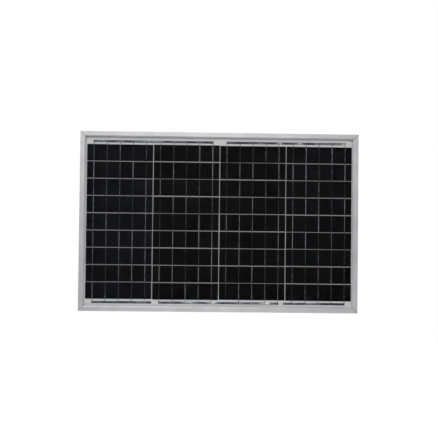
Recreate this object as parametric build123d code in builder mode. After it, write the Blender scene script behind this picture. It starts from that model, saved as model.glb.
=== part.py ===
from build123d import *

import math
import os

# A framed solar panel. Four strings of nine cut cells are laminated behind a glass cover,
# a mitred aluminium frame holds the laminate in its groove, and a junction box with a
# hinged lid and two cable glands is bonded to the back.
#
# Millimetres. +X is to the right of a person who faces the glass, +Z is up and +Y points
# out of the back. The origin is the centre of the four mounting slots, on the plane of the
# rear flange. "Depth" counts from the front face of the frame towards the back, and
# "inset" counts from the outer edge of the frame towards the middle.

# ---- Frame ----
PANEL_WIDTH = 665.0
PANEL_HEIGHT = 428.0
FRAME_DEPTH = 25.0
OUTER_WALL = 1.3
THIN_WALL = 1.2
LIP_THICKNESS = 1.6
LIP_FLAT = 9.8  # inset at which the lip's front face starts to slope to the glass
LIP_INSET = 12.8
BEVEL_DROP = 1.25
FLANGE_THICKNESS = 1.4
FLANGE_INSET = 24.0
CHAMBER_BACK = 19.2  # depth of the back of the closed chamber
MITRE_GAP = 0.12
OUTER_EDGE_RADIUS = 0.6
INNER_EDGE_RADIUS = 0.3

# ---- Laminate: the depth at which each layer ends ----
LAMINATE_INSET = 3.3
SEALANT_FRONT = 0.6
GLASS_THICKNESS = 3.2
FRONT_FILM = 0.4
TAB_THICKNESS = 0.22
CELL_THICKNESS = 0.2
REAR_FILM = 0.9
BACKSHEET_THICKNESS = 0.3
SEALANT_REAR = 0.56

GLASS_FRONT = LIP_THICKNESS + SEALANT_FRONT
GLASS_BACK = GLASS_FRONT + GLASS_THICKNESS
TAB_FRONT = GLASS_BACK + FRONT_FILM
CELL_FRONT = TAB_FRONT + TAB_THICKNESS
CELL_BACK = CELL_FRONT + CELL_THICKNESS
TAB_BACK = CELL_BACK + TAB_THICKNESS
FILM_BACK = TAB_BACK + REAR_FILM
LAMINATE_BACK = FILM_BACK + BACKSHEET_THICKNESS
GROOVE_BACK = LAMINATE_BACK + SEALANT_REAR
LAMINATE_WIDTH = PANEL_WIDTH - 2 * LAMINATE_INSET
LAMINATE_HEIGHT = PANEL_HEIGHT - 2 * LAMINATE_INSET
SEAL_RECESS = 0.8  # how far the front sealant stays behind the lip's edge
REAR_BEAD = 2.5

# ---- Cells and their wiring ----
STRINGS = 4
ROWS = 9
CELL_WIDTH = 156.75
CELL_HEIGHT = CELL_WIDTH / 4
CELL_GAP_X = 2.2
CELL_GAP_Z = 2.0
MATRIX_X = 0.3  # the cells lie a little off the middle of the frame
MATRIX_Z = -0.85
BUSBARS = 5
BUSBAR_PITCH = 31.2
TAB_WIDTH = 1.2
TAB_END = 1.0  # a tab stops this far short of a cell's far edge
TAB_CLEAR = 0.3
BUS_WIDTH = 5.0
BUS_THICKNESS = 0.3
BUS_OVERHANG = 1.6
BUS_OFFSET = 7.6  # from the edge of the outer row to the middle of a bus
LEFT_TAIL = 12.7  # how far an end bus runs past its last tab, towards the middle
RIGHT_TAIL = 17.5
LEAD_THICKNESS = 0.25
LEAD_DEPTH = 6.94
STRIP_DEPTH = 6.66
STRIP_THICKNESS = 0.2
STRIP_WIDTH = 9.0
POCKET_DEPTH = 6.62

MATRIX_HEIGHT = ROWS * CELL_HEIGHT + (ROWS - 1) * CELL_GAP_Z
TOP_BUS_Z = MATRIX_Z + MATRIX_HEIGHT / 2 + BUS_OFFSET
BOTTOM_BUS_Z = MATRIX_Z - MATRIX_HEIGHT / 2 - BUS_OFFSET

# ---- Junction box ----
BOX_WIDTH = 104.0
BOX_HEIGHT = 76.0
BOX_Z = -144.0
BOX_RADIUS = 6.0
BOX_WALL = 2.6
BOX_FLOOR = 2.0
BOX_DEPTH = 13.2
ADHESIVE = 0.8
REBATE_WIDTH = 1.3
REBATE_DEPTH = 1.4
LID_PLATE = 2.2
LID_SKIRT = 2.4
SKIRT_WALL = 1.6
SKIRT_CLEARANCE = 0.35
SKIRT_INNER_RADIUS = 1.4
LID_EDGE = 0.9
TERMINAL_X = 26.0
TERMINAL_WIDTH = 12.0
TERMINAL_LENGTH = 44.0
TERMINAL_THICKNESS = 1.0
SEAT_HEIGHT = 3.0
SLIT_Z = -174.0
TERMINAL_FOOT_Z = -170.0
SCREW_Z = -131.0
MIDDLE_SEAT_Z = -148.0
CLIP_Z = -166.5
DIODE_Z = -152.0
HINGE_X = 30.0
HINGE_DEPTH = 21.6
HINGE_DROP = 2.6  # hinge axis below the box's lower wall
PIN_RADIUS = 1.0
HINGE_CLEARANCE = 0.06
SNAP_SLOT = 1.7
KNUCKLE_RADIUS = 2.2
KNUCKLE_LENGTH = 9.6
EAR_LENGTH = 2.0
EAR_GAP = 0.2
GLAND_DEPTH = 15.7
SOCKET_RADIUS = 5.6
SOCKET_BORE = 4.0
SOCKET_LENGTH = 10.5
NUT_FLATS = 13.6
NUT_START = 2.0
NUT_LENGTH = 15.5
SEAL_BORE = 2.8

BOX_FOOT = LAMINATE_BACK + ADHESIVE
FLOOR_TOP = BOX_FOOT + BOX_FLOOR
BOX_RIM = BOX_FOOT + BOX_DEPTH
LID_BACK = BOX_RIM + LID_PLATE
BOX_TOP_Z = BOX_Z + BOX_HEIGHT / 2
BOX_BOTTOM_Z = BOX_Z - BOX_HEIGHT / 2
HINGE_Z = BOX_BOTTOM_Z - HINGE_DROP
SEAT_TOP = FLOOR_TOP + SEAT_HEIGHT
TERMINAL_TOP = SEAT_TOP + TERMINAL_THICKNESS

# ---- Mounting ----
SLOT_SPACING_X = 370.0
SLOT_INSET = 13.5
SLOT_LENGTH = 12.0
SLOT_WIDTH = 7.0
GROUND_INSET = 14.0
GROUND_RADIUS = 2.1
DRAIN_LENGTH = 10.0
DRAIN_WIDTH = 4.0
DRAIN_FROM_END = 46.0

SIDES = {
    "top": (Plane((0, -FRAME_DEPTH, PANEL_HEIGHT / 2), x_dir=(0, 0, -1), z_dir=(1, 0, 0)), PANEL_WIDTH),
    "bottom": (Plane((0, -FRAME_DEPTH, -PANEL_HEIGHT / 2), x_dir=(0, 0, 1), z_dir=(-1, 0, 0)), PANEL_WIDTH),
    "left": (Plane((-PANEL_WIDTH / 2, -FRAME_DEPTH, 0), x_dir=(1, 0, 0), z_dir=(0, 0, 1)), PANEL_HEIGHT),
    "right": (Plane((PANEL_WIDTH / 2, -FRAME_DEPTH, 0), x_dir=(-1, 0, 0), z_dir=(0, 0, -1)), PANEL_HEIGHT),
}


def y_of(depth):
    """The row's Y at a depth behind the frame's front face."""
    return depth - FRAME_DEPTH


def facing(depth, x=0.0, z=0.0):
    """A plane seen from the front: its x is +X, its y is +Z and it extrudes towards the front."""
    return Plane((x, y_of(depth), z), x_dir=(1, 0, 0), z_dir=(0, -1, 0))


def row_z(row):
    """The height of a row of cells, row 0 at the top."""
    return MATRIX_Z + ((ROWS - 1) / 2 - row) * (CELL_HEIGHT + CELL_GAP_Z)


def string_x(string):
    """The middle of a string of cells, string 0 at the left."""
    return MATRIX_X + (string - (STRINGS - 1) / 2) * (CELL_WIDTH + CELL_GAP_X)


def tab_x(string, busbar):
    """The middle of a busbar of a string, busbar 0 at the left."""
    return string_x(string) + (busbar - (BUSBARS - 1) / 2) * BUSBAR_PITCH


def save(part, name):
    """Writes one piece as a STEP file of its own."""
    part.label = name
    export_step(part, f"parts/{name}.step")


os.makedirs("parts", exist_ok=True)


# ---- Frame rails ----
def rail_profile():
    """The extrusion's section: x is the inset and y the depth."""
    with BuildSketch() as profile:
        with BuildLine():
            Polyline(
                (0, 0),
                (LIP_FLAT, 0),
                (LIP_INSET, BEVEL_DROP),
                (LIP_INSET, LIP_THICKNESS),
                (OUTER_WALL, LIP_THICKNESS),
                (OUTER_WALL, GROOVE_BACK),
                (LIP_INSET, GROOVE_BACK),
                (LIP_INSET, CHAMBER_BACK),
                (OUTER_WALL, CHAMBER_BACK),
                (OUTER_WALL, FRAME_DEPTH - FLANGE_THICKNESS),
                (FLANGE_INSET, FRAME_DEPTH - FLANGE_THICKNESS),
                (FLANGE_INSET, FRAME_DEPTH),
                (0, FRAME_DEPTH),
                close=True,
            )
        make_face()
        outer = profile.vertices().group_by(Axis.X)[0]
        fillet(outer, OUTER_EDGE_RADIUS)
        flange_edge = profile.vertices().group_by(Axis.X)[-1]
        fillet(flange_edge, INNER_EDGE_RADIUS)
        chamber_front = GROOVE_BACK + THIN_WALL
        chamber_back = CHAMBER_BACK - THIN_WALL
        with Locations(((OUTER_WALL + LIP_INSET - THIN_WALL) / 2, (chamber_front + chamber_back) / 2)):
            Rectangle(LIP_INSET - THIN_WALL - OUTER_WALL, chamber_back - chamber_front, mode=Mode.SUBTRACT)
    return profile.sketch


def mitre(plane, length):
    """Cuts both ends of the rail at 45 degrees, with a hairline left at each joint."""
    for end in (1, -1):
        normal = (plane.x_dir + plane.z_dir * end).normalized()
        corner = plane.origin + plane.z_dir * (end * length / 2) - normal * (MITRE_GAP / 2)
        split(bisect_by=Plane(corner, z_dir=normal), keep=Keep.BOTTOM)


def flange_cut(shape, spots):
    """Holes of one sketch shape, through the rear flange."""
    with BuildSketch(facing(FRAME_DEPTH)) as holes:
        with Locations(*spots):
            shape()
    extrude(holes.sketch, amount=FLANGE_THICKNESS, mode=Mode.SUBTRACT)


section = rail_profile()
for side, (plane, length) in SIDES.items():
    with BuildPart() as rail:
        with BuildSketch(plane):
            add(section)
        extrude(amount=length / 2, both=True)
        mitre(plane, length)
        if side in ("top", "bottom"):
            up = 1 if side == "top" else -1
            slot_z = up * (PANEL_HEIGHT / 2 - SLOT_INSET)
            slots = [(x * SLOT_SPACING_X / 2, slot_z) for x in (-1, 1)]
            drains = [(x * (length / 2 - DRAIN_FROM_END), slot_z) for x in (-1, 1)]
            flange_cut(lambda: SlotOverall(SLOT_LENGTH, SLOT_WIDTH), slots)
            flange_cut(lambda: SlotOverall(DRAIN_LENGTH, DRAIN_WIDTH), drains)
        else:
            out = 1 if side == "right" else -1
            flange_cut(lambda: Circle(GROUND_RADIUS), [(out * (PANEL_WIDTH / 2 - GROUND_INSET), 0)])
    save(rail.part, f"frame_rail_{side}")


# ---- Corner keys, one in each corner of the frame's chamber ----
KEY_LENGTH = 34.0
KEY_CLEARANCE = 0.1
KEY_NOTCH = 1.0
NOTCH_PLACES = (0.55, 0.8)  # as parts of an arm's length

key_low = OUTER_WALL + KEY_CLEARANCE
key_high = LIP_INSET - THIN_WALL - KEY_CLEARANCE
key_front = GROOVE_BACK + THIN_WALL + KEY_CLEARANCE
key_back = CHAMBER_BACK - THIN_WALL - KEY_CLEARANCE
for up, up_name in ((1, "top"), (-1, "bottom")):
    for out, out_name in ((-1, "left"), (1, "right")):
        with BuildPart() as corner_key:
            with BuildSketch(facing(key_back)):
                with BuildLine():
                    corner_points = [
                        (key_low, key_low),
                        (KEY_LENGTH, key_low),
                        (KEY_LENGTH, key_high),
                        (key_high, key_high),
                        (key_high, KEY_LENGTH),
                        (key_low, KEY_LENGTH),
                    ]
                    Polyline(
                        *[
                            (out * (PANEL_WIDTH / 2 - a), up * (PANEL_HEIGHT / 2 - b))
                            for a, b in corner_points
                        ],
                        close=True,
                    )
                make_face()
            extrude(amount=key_back - key_front)
            for along in NOTCH_PLACES:
                reach = KEY_LENGTH * along
                with BuildSketch(facing(key_back)):
                    with Locations((out * (PANEL_WIDTH / 2 - reach), up * (PANEL_HEIGHT / 2 - key_low))):
                        Rectangle(2 * KEY_NOTCH, 2 * KEY_NOTCH)
                    with Locations((out * (PANEL_WIDTH / 2 - key_low), up * (PANEL_HEIGHT / 2 - reach))):
                        Rectangle(2 * KEY_NOTCH, 2 * KEY_NOTCH)
                extrude(amount=key_back - key_front, mode=Mode.SUBTRACT)
        save(corner_key.part, f"corner_key_{up_name}_{out_name}")


# ---- Sealant in the groove, with its bead on the back ----
def inset_block(inset, front, back, mode=Mode.ADD, taper=0.0):
    """A block as large as the frame less an inset on every side. A taper narrows it to the front."""
    with BuildSketch(facing(back)) as block:
        Rectangle(PANEL_WIDTH - 2 * inset, PANEL_HEIGHT - 2 * inset)
    extrude(block.sketch, amount=back - front, taper=taper, mode=mode)


with BuildPart() as edge_sealant:
    inset_block(OUTER_WALL, LIP_THICKNESS, GROOVE_BACK)
    inset_block(LAMINATE_INSET, GLASS_FRONT, LAMINATE_BACK, Mode.SUBTRACT)
    inset_block(LIP_INSET - SEAL_RECESS, LIP_THICKNESS, GLASS_FRONT, Mode.SUBTRACT)
    inset_block(LIP_INSET, LAMINATE_BACK, GROOVE_BACK + REAR_BEAD)
    bead_height = GROOVE_BACK + REAR_BEAD - LAMINATE_BACK
    bead_slope = math.degrees(math.atan(REAR_BEAD / bead_height))
    inset_block(LIP_INSET, LAMINATE_BACK, GROOVE_BACK + REAR_BEAD, Mode.SUBTRACT, bead_slope)
save(edge_sealant.part, "edge_sealant")


# ---- Glass, films and backsheet ----
GLASS_CHAMFER = 0.4
GLASS_CORNER = 1.5

with BuildPart() as glass_cover:
    with BuildSketch(facing(GLASS_BACK)):
        RectangleRounded(LAMINATE_WIDTH, LAMINATE_HEIGHT, GLASS_CORNER)
    extrude(amount=GLASS_THICKNESS)
    chamfer(glass_cover.faces().sort_by(Axis.Y)[0].edges(), GLASS_CHAMFER)
    chamfer(glass_cover.faces().sort_by(Axis.Y)[-1].edges(), GLASS_CHAMFER)
save(glass_cover.part, "glass_cover")

with BuildPart() as encapsulant_front:
    inset_block(LAMINATE_INSET, GLASS_BACK, TAB_FRONT)
save(encapsulant_front.part, "encapsulant_front")

left_tail_x = tab_x(0, BUSBARS - 1) + LEFT_TAIL
right_tail_x = tab_x(STRINGS - 1, 0) - RIGHT_TAIL
POCKET_MARGIN = 5.0
WINDOW_WIDTH = 8.0
RISER_LENGTH = 3.0
slit_xs = (-TERMINAL_X, 0.0, TERMINAL_X)
riser_xs = (left_tail_x - RISER_LENGTH / 2, 0.0, right_tail_x + RISER_LENGTH / 2)

with BuildPart() as encapsulant_rear:
    inset_block(LAMINATE_INSET, TAB_BACK, FILM_BACK)
    pocket_low = BOTTOM_BUS_Z - POCKET_MARGIN
    pocket_high = BOTTOM_BUS_Z + POCKET_MARGIN
    with BuildSketch(facing(FILM_BACK)):
        with Locations(((left_tail_x + right_tail_x) / 2, BOTTOM_BUS_Z)):
            Rectangle(right_tail_x - left_tail_x + 2 * POCKET_MARGIN, pocket_high - pocket_low)
        with Locations((0, (pocket_low + SLIT_Z + POCKET_MARGIN / 2) / 2)):
            Rectangle(2 * (TERMINAL_X + POCKET_MARGIN), SLIT_Z + POCKET_MARGIN / 2 - pocket_low)
    extrude(amount=FILM_BACK - POCKET_DEPTH, mode=Mode.SUBTRACT)
    with BuildSketch(facing(FILM_BACK)):
        with Locations(*[(x, BOTTOM_BUS_Z) for x in riser_xs]):
            Rectangle(WINDOW_WIDTH, WINDOW_WIDTH)
    extrude(amount=REAR_FILM, mode=Mode.SUBTRACT)
save(encapsulant_rear.part, "encapsulant_rear")

SLIT_WIDTH = 7.0
SLIT_HEIGHT = 1.6

with BuildPart() as backsheet:
    inset_block(LAMINATE_INSET, FILM_BACK, LAMINATE_BACK)
    with BuildSketch(facing(LAMINATE_BACK)):
        with Locations(*[(x, SLIT_Z + LEAD_THICKNESS / 2) for x in slit_xs]):
            Rectangle(SLIT_WIDTH, SLIT_HEIGHT)
    extrude(amount=BACKSHEET_THICKNESS, mode=Mode.SUBTRACT)
save(backsheet.part, "backsheet")


# ---- Cells: one node for each string of nine ----
for string in range(STRINGS):
    with BuildPart() as cell_string:
        with BuildSketch(facing(CELL_BACK)):
            with Locations(*[(string_x(string), row_z(row)) for row in range(ROWS)]):
                Rectangle(CELL_WIDTH, CELL_HEIGHT)
        extrude(amount=CELL_THICKNESS)
    save(cell_string.part, f"cell_string_{string + 1}")


# ---- Tabs: each joins the front of one cell to the back of its neighbour ----
def tab_outline(upper, lower):
    """A tab's side view as (depth, z) points, from its (start, bend, layer) above to that below."""
    (top, bend_above, layer_above), (bottom, bend_below, layer_below) = upper, lower
    front = [
        (layer_above, top),
        (layer_above, bend_above),
        (layer_below, bend_below),
        (layer_below, bottom),
    ]
    back = [(depth + TAB_THICKNESS, z) for depth, z in reversed(front)]
    return front + back


def tab_outlines(front_below):
    """All the tabs of one busbar. front_below says whether a tab goes to the front of the cell below."""
    layer_above, layer_below = (CELL_BACK, TAB_FRONT) if front_below else (TAB_FRONT, CELL_BACK)
    half = CELL_HEIGHT / 2
    outlines = []
    for joint in range(ROWS + 1):
        above, below = row_z(joint - 1), row_z(joint)
        upper = (above + half - TAB_END, above - half - TAB_CLEAR, layer_above)
        lower = (below - half + TAB_END, below + half + TAB_CLEAR, layer_below)
        if joint == 0:
            top = TOP_BUS_Z + BUS_WIDTH / 2
            upper = (top, TOP_BUS_Z - BUS_WIDTH / 2 - TAB_CLEAR, TAB_FRONT)
            lower = (lower[0], below + half + 2 * TAB_END, layer_below)
        if joint == ROWS:
            bottom = BOTTOM_BUS_Z - BUS_WIDTH / 2
            upper = (upper[0], above - half - 2 * TAB_END, layer_above)
            lower = (bottom, BOTTOM_BUS_Z + BUS_WIDTH / 2 + TAB_CLEAR, TAB_FRONT)
        outlines.append(tab_outline(upper, lower))
    return outlines


for string in range(STRINGS):
    outlines = tab_outlines(front_below=string % 2 == 0)
    with BuildPart() as tabs:
        for busbar in range(BUSBARS):
            with BuildSketch(Plane.YZ.offset(tab_x(string, busbar) - TAB_WIDTH / 2)):
                for outline in outlines:
                    with BuildLine():
                        Polyline(*[(y_of(depth), z) for depth, z in outline], close=True)
                    make_face()
            extrude(amount=TAB_WIDTH)
    save(tabs.part, f"tab_ribbons_{string + 1}")


# ---- Bus ribbons across the ends of the strings ----
def bus(start, end, z, name):
    """A wide ribbon between two places along X."""
    with BuildPart() as ribbon:
        with BuildSketch(facing(CELL_FRONT + BUS_THICKNESS)):
            with Locations(((start + end) / 2, z)):
                Rectangle(end - start, BUS_WIDTH)
        extrude(amount=BUS_THICKNESS)
    save(ribbon.part, name)


last = BUSBARS - 1
bus(tab_x(0, 0) - BUS_OVERHANG, tab_x(1, last) + BUS_OVERHANG, TOP_BUS_Z, "bus_top_left")
bus(tab_x(2, 0) - BUS_OVERHANG, tab_x(3, last) + BUS_OVERHANG, TOP_BUS_Z, "bus_top_right")
bus(tab_x(0, 0) - BUS_OVERHANG, left_tail_x, BOTTOM_BUS_Z, "bus_bottom_left")
bus(tab_x(1, 0) - BUS_OVERHANG, tab_x(2, last) + BUS_OVERHANG, BOTTOM_BUS_Z, "bus_bottom_middle")
bus(right_tail_x, tab_x(3, last) + BUS_OVERHANG, BOTTOM_BUS_Z, "bus_bottom_right")


# ---- Lead-outs: from the end and middle buses, through the backsheet, to the terminals ----
LEAD_TIP_Z = -162.0


def lead_out(slit_x, riser_x):
    """A ribbon that rises from a bus, runs to a slit and lies down on a terminal plate."""
    lead_back = LEAD_DEPTH + LEAD_THICKNESS
    lead_low = BOTTOM_BUS_Z - BUS_WIDTH / 2
    with BuildPart() as lead:
        with BuildSketch(Plane.YZ.offset(slit_x - BUS_WIDTH / 2)):
            with BuildLine():
                side_view = [
                    (LEAD_DEPTH, lead_low),
                    (LEAD_DEPTH, SLIT_Z + LEAD_THICKNESS),
                    (TERMINAL_TOP, SLIT_Z + LEAD_THICKNESS),
                    (TERMINAL_TOP, LEAD_TIP_Z),
                    (TERMINAL_TOP + LEAD_THICKNESS, LEAD_TIP_Z),
                    (TERMINAL_TOP + LEAD_THICKNESS, SLIT_Z),
                    (lead_back, SLIT_Z),
                    (lead_back, lead_low),
                ]
                Polyline(*[(y_of(depth), z) for depth, z in side_view], close=True)
            make_face()
        extrude(amount=BUS_WIDTH)
        reach = abs(riser_x - slit_x)
        if reach:
            with BuildSketch(facing(lead_back)):
                with Locations(((riser_x + slit_x) / 2, BOTTOM_BUS_Z)):
                    Rectangle(reach + RISER_LENGTH, BUS_WIDTH)
            extrude(amount=LEAD_THICKNESS)
        with BuildSketch(facing(LEAD_DEPTH)):
            with Locations((riser_x, BOTTOM_BUS_Z)):
                Rectangle(RISER_LENGTH, BUS_WIDTH)
        extrude(amount=LEAD_DEPTH - CELL_FRONT - BUS_THICKNESS)
    return lead.part


for name, slit_x, riser_x in zip(("left", "middle", "right"), slit_xs, riser_xs):
    save(lead_out(slit_x, riser_x), f"lead_out_{name}")

# the white strip lies over the leads, so that they don't show between the cells
APRON_WIDTH = 60.0
APRON_OVERLAP = 1.0
apron_low = BOTTOM_BUS_Z + STRIP_WIDTH / 2 - APRON_OVERLAP
apron_high = SLIT_Z + 2 * APRON_OVERLAP
with BuildPart() as lead_insulation:
    with BuildSketch(facing(STRIP_DEPTH + STRIP_THICKNESS)):
        for start, end in ((riser_xs[0], riser_xs[1]), (riser_xs[1], riser_xs[2])):
            with Locations(((start + end) / 2, BOTTOM_BUS_Z)):
                Rectangle(end - start - 2 * POCKET_MARGIN, STRIP_WIDTH)
        with Locations((0, (apron_low + apron_high) / 2)):
            Rectangle(APRON_WIDTH, apron_high - apron_low)
    extrude(amount=STRIP_THICKNESS)
save(lead_insulation.part, "lead_insulation")


# ---- Junction box ----
def box_layer(shrink, radius, front, back, mode=Mode.ADD):
    """A slab with the box's rounded outline, drawn in on every side by shrink."""
    with BuildSketch(facing(back)) as layer:
        with Locations((0, BOX_Z)):
            RectangleRounded(BOX_WIDTH - 2 * shrink, BOX_HEIGHT - 2 * shrink, radius)
    extrude(layer.sketch, amount=back - front, mode=mode)


ACROSS = (1, 0, 0)
UPWARD = (0, 0, 1)


def round_bar(x, depth, z, radius, length, axis, mode=Mode.ADD):
    """A round bar that starts at a point and runs along an axis."""
    with BuildSketch(Plane((x, y_of(depth), z), z_dir=axis)) as end:
        Circle(radius)
    extrude(end.sketch, amount=length, mode=mode)


BEAD_INSET = 1.5
BEAD_WIDTH = 5.5
BEAD_INNER_RADIUS = 1.5
with BuildPart() as jbox_adhesive:
    box_layer(BEAD_INSET, BOX_RADIUS - BEAD_INSET, LAMINATE_BACK, BOX_FOOT)
    box_layer(BEAD_INSET + BEAD_WIDTH, BEAD_INNER_RADIUS, LAMINATE_BACK, BOX_FOOT, Mode.SUBTRACT)
save(jbox_adhesive.part, "jbox_adhesive")

FLOOR_SLOT_WIDTH = 8.0
FLOOR_SLOT_HEIGHT = 4.0
SEAT_WIDTH = 9.0
SEAT_LENGTH = 7.0
CATCH_WIDTH = 9.2
CATCH_DEPTH = 1.8
CATCH_HEIGHT = 0.35
CATCH_AT = 16.3
SCREW_PILOT = 1.6
EAR_RADIUS = 2.3
WALL_FOOT_CHAMFER = 0.6
seat_zs = (SCREW_Z, MIDDLE_SEAT_Z, CLIP_Z)

with BuildPart() as jbox_base:
    box_layer(0, BOX_RADIUS, BOX_FOOT, BOX_RIM)
    chamfer(jbox_base.faces().sort_by(Axis.Y)[0].edges(), WALL_FOOT_CHAMFER)
    box_layer(BOX_WALL, BOX_RADIUS - BOX_WALL, FLOOR_TOP, BOX_RIM, Mode.SUBTRACT)
    box_layer(REBATE_WIDTH, BOX_RADIUS - REBATE_WIDTH, BOX_RIM - REBATE_DEPTH, BOX_RIM, Mode.SUBTRACT)
    with BuildSketch(facing(FLOOR_TOP)):
        with Locations(*[(x, SLIT_Z) for x in slit_xs]):
            Rectangle(FLOOR_SLOT_WIDTH, FLOOR_SLOT_HEIGHT)
    extrude(amount=BOX_FLOOR, mode=Mode.SUBTRACT)
    # seats that carry the terminal plates
    with BuildSketch(facing(SEAT_TOP)):
        with Locations(*[(x, z) for x in slit_xs for z in seat_zs]):
            Rectangle(SEAT_WIDTH, SEAT_LENGTH)
    extrude(amount=SEAT_HEIGHT)
    with BuildSketch(facing(SEAT_TOP)):
        with Locations(*[(x, SCREW_Z) for x in (-TERMINAL_X, TERMINAL_X)]):
            Circle(SCREW_PILOT)
    extrude(amount=SEAT_HEIGHT, mode=Mode.SUBTRACT)
    # gland sockets
    socket_foot = BOX_TOP_Z - BOX_WALL / 2
    bore_foot = BOX_TOP_Z - 2 * BOX_WALL
    bore_length = SOCKET_LENGTH + 3 * BOX_WALL
    for x in (-TERMINAL_X, TERMINAL_X):
        round_bar(x, GLAND_DEPTH, socket_foot, SOCKET_RADIUS, SOCKET_LENGTH + BOX_WALL / 2, UPWARD)
        round_bar(x, GLAND_DEPTH, bore_foot, SOCKET_BORE, bore_length, UPWARD, Mode.SUBTRACT)
    # the ledge that the lid's tongue snaps over
    with BuildSketch(facing(CATCH_AT + CATCH_DEPTH)):
        with Locations((0, BOX_TOP_Z + CATCH_HEIGHT / 2)):
            Rectangle(CATCH_WIDTH, CATCH_HEIGHT)
    extrude(amount=CATCH_DEPTH)
    # hinge ears with a web to the wall, and the bar between each two
    for hinge_x in (-HINGE_X, HINGE_X):
        for side in (-1, 1):
            ear_start = hinge_x + side * (KNUCKLE_LENGTH / 2 + EAR_GAP) - (EAR_LENGTH if side < 0 else 0)
            round_bar(ear_start, HINGE_DEPTH, HINGE_Z, EAR_RADIUS, EAR_LENGTH, ACROSS)
            with BuildSketch(facing(HINGE_DEPTH)):
                with Locations((ear_start + EAR_LENGTH / 2, HINGE_Z + HINGE_DROP / 2)):
                    Rectangle(EAR_LENGTH, HINGE_DROP)
            extrude(amount=2 * EAR_RADIUS)
            with BuildSketch(facing(HINGE_DEPTH)):
                with Locations((ear_start + EAR_LENGTH / 2, HINGE_Z)):
                    Rectangle(EAR_LENGTH, 2 * EAR_RADIUS)
            extrude(amount=EAR_RADIUS)
        bar_length = KNUCKLE_LENGTH + 2 * (EAR_GAP + EAR_LENGTH)
        round_bar(hinge_x - bar_length / 2, HINGE_DEPTH, HINGE_Z, PIN_RADIUS, bar_length, ACROSS)
save(jbox_base.part, "jbox_base")

TONGUE_WIDTH = 20.0
TONGUE_THICKNESS = 1.6
TONGUE_CLEARANCE = 0.4
TONGUE_FRONT = 14.2
WINDOW_FRONT = 15.9
WINDOW_BACK = 18.6
WINDOW_CLEARANCE = 0.6
FIELD_MARGIN = 9.0
FIELD_DEPTH = 0.5
FIELD_RADIUS = 3.0
GRIP_RIBS = 5
GRIP_PITCH = 2.4
ARM_OVERLAP = 1.0  # how far a knuckle's arm runs on into the lid
skirt_shrink = BOX_WALL + SKIRT_CLEARANCE
knuckle_bore = PIN_RADIUS + HINGE_CLEARANCE

with BuildPart() as jbox_lid:
    box_layer(0, BOX_RADIUS, BOX_RIM, LID_BACK)
    chamfer(jbox_lid.faces().sort_by(Axis.Y)[-1].edges(), LID_EDGE)
    # a shallow field in the middle of the cover, with grip ribs near the latch
    box_layer(FIELD_MARGIN, FIELD_RADIUS, LID_BACK - FIELD_DEPTH, LID_BACK, Mode.SUBTRACT)
    with BuildSketch(facing(LID_BACK)):
        with Locations((0, BOX_Z + BOX_HEIGHT / 2 - 2 * FIELD_MARGIN)):
            with GridLocations(0, GRIP_PITCH, 1, GRIP_RIBS):
                SlotOverall(TONGUE_WIDTH, GRIP_PITCH / 2)
    extrude(amount=FIELD_DEPTH)
    # skirt that drops inside the box
    box_layer(skirt_shrink, BOX_RADIUS - skirt_shrink, BOX_RIM - LID_SKIRT, BOX_RIM)
    box_layer(skirt_shrink + SKIRT_WALL, SKIRT_INNER_RADIUS, BOX_RIM - LID_SKIRT, BOX_RIM, Mode.SUBTRACT)
    # tongue with its window, over the gland wall
    tongue_near = BOX_TOP_Z + TONGUE_CLEARANCE
    with BuildSketch(facing(LID_BACK)):
        with Locations((0, tongue_near + TONGUE_THICKNESS / 2)):
            Rectangle(TONGUE_WIDTH, TONGUE_THICKNESS)
    extrude(amount=LID_BACK - TONGUE_FRONT)
    with BuildSketch(facing(LID_BACK - LID_EDGE)):
        with Locations((0, BOX_TOP_Z)):
            Rectangle(TONGUE_WIDTH, 2 * TONGUE_CLEARANCE + TONGUE_THICKNESS)
    extrude(amount=LID_PLATE - LID_EDGE)
    with BuildSketch(facing(WINDOW_BACK)):
        with Locations((0, tongue_near + TONGUE_THICKNESS / 2)):
            Rectangle(CATCH_WIDTH + 2 * WINDOW_CLEARANCE, TONGUE_THICKNESS)
    extrude(amount=WINDOW_BACK - WINDOW_FRONT, mode=Mode.SUBTRACT)
    # hinge knuckles, open on one side where they snap over the base's bars
    for hinge_x in (-HINGE_X, HINGE_X):
        start = hinge_x - KNUCKLE_LENGTH / 2
        round_bar(start, HINGE_DEPTH, HINGE_Z, KNUCKLE_RADIUS, KNUCKLE_LENGTH, ACROSS)
        with BuildSketch(facing(LID_BACK - LID_EDGE)):
            with Locations((hinge_x, HINGE_Z + (HINGE_DROP + ARM_OVERLAP) / 2)):
                Rectangle(KNUCKLE_LENGTH, HINGE_DROP + ARM_OVERLAP)
        extrude(amount=LID_PLATE - LID_EDGE)
        round_bar(start, HINGE_DEPTH, HINGE_Z, knuckle_bore, KNUCKLE_LENGTH, ACROSS, Mode.SUBTRACT)
        with BuildSketch(facing(HINGE_DEPTH + SNAP_SLOT / 2)):
            with Locations((hinge_x, HINGE_Z - KNUCKLE_RADIUS)):
                Rectangle(KNUCKLE_LENGTH, 2 * KNUCKLE_RADIUS)
        extrude(amount=SNAP_SLOT, mode=Mode.SUBTRACT)
save(jbox_lid.part, "jbox_lid")

GASKET_WIDTH = 1.05
GASKET_HEIGHT = 1.2
gasket_shrink = skirt_shrink - GASKET_WIDTH
with BuildPart() as lid_gasket:
    box_layer(gasket_shrink, BOX_RADIUS - gasket_shrink, BOX_RIM - GASKET_HEIGHT, BOX_RIM)
    box_layer(skirt_shrink, BOX_RADIUS - skirt_shrink, BOX_RIM - GASKET_HEIGHT, BOX_RIM, Mode.SUBTRACT)
save(lid_gasket.part, "lid_gasket")

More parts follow.
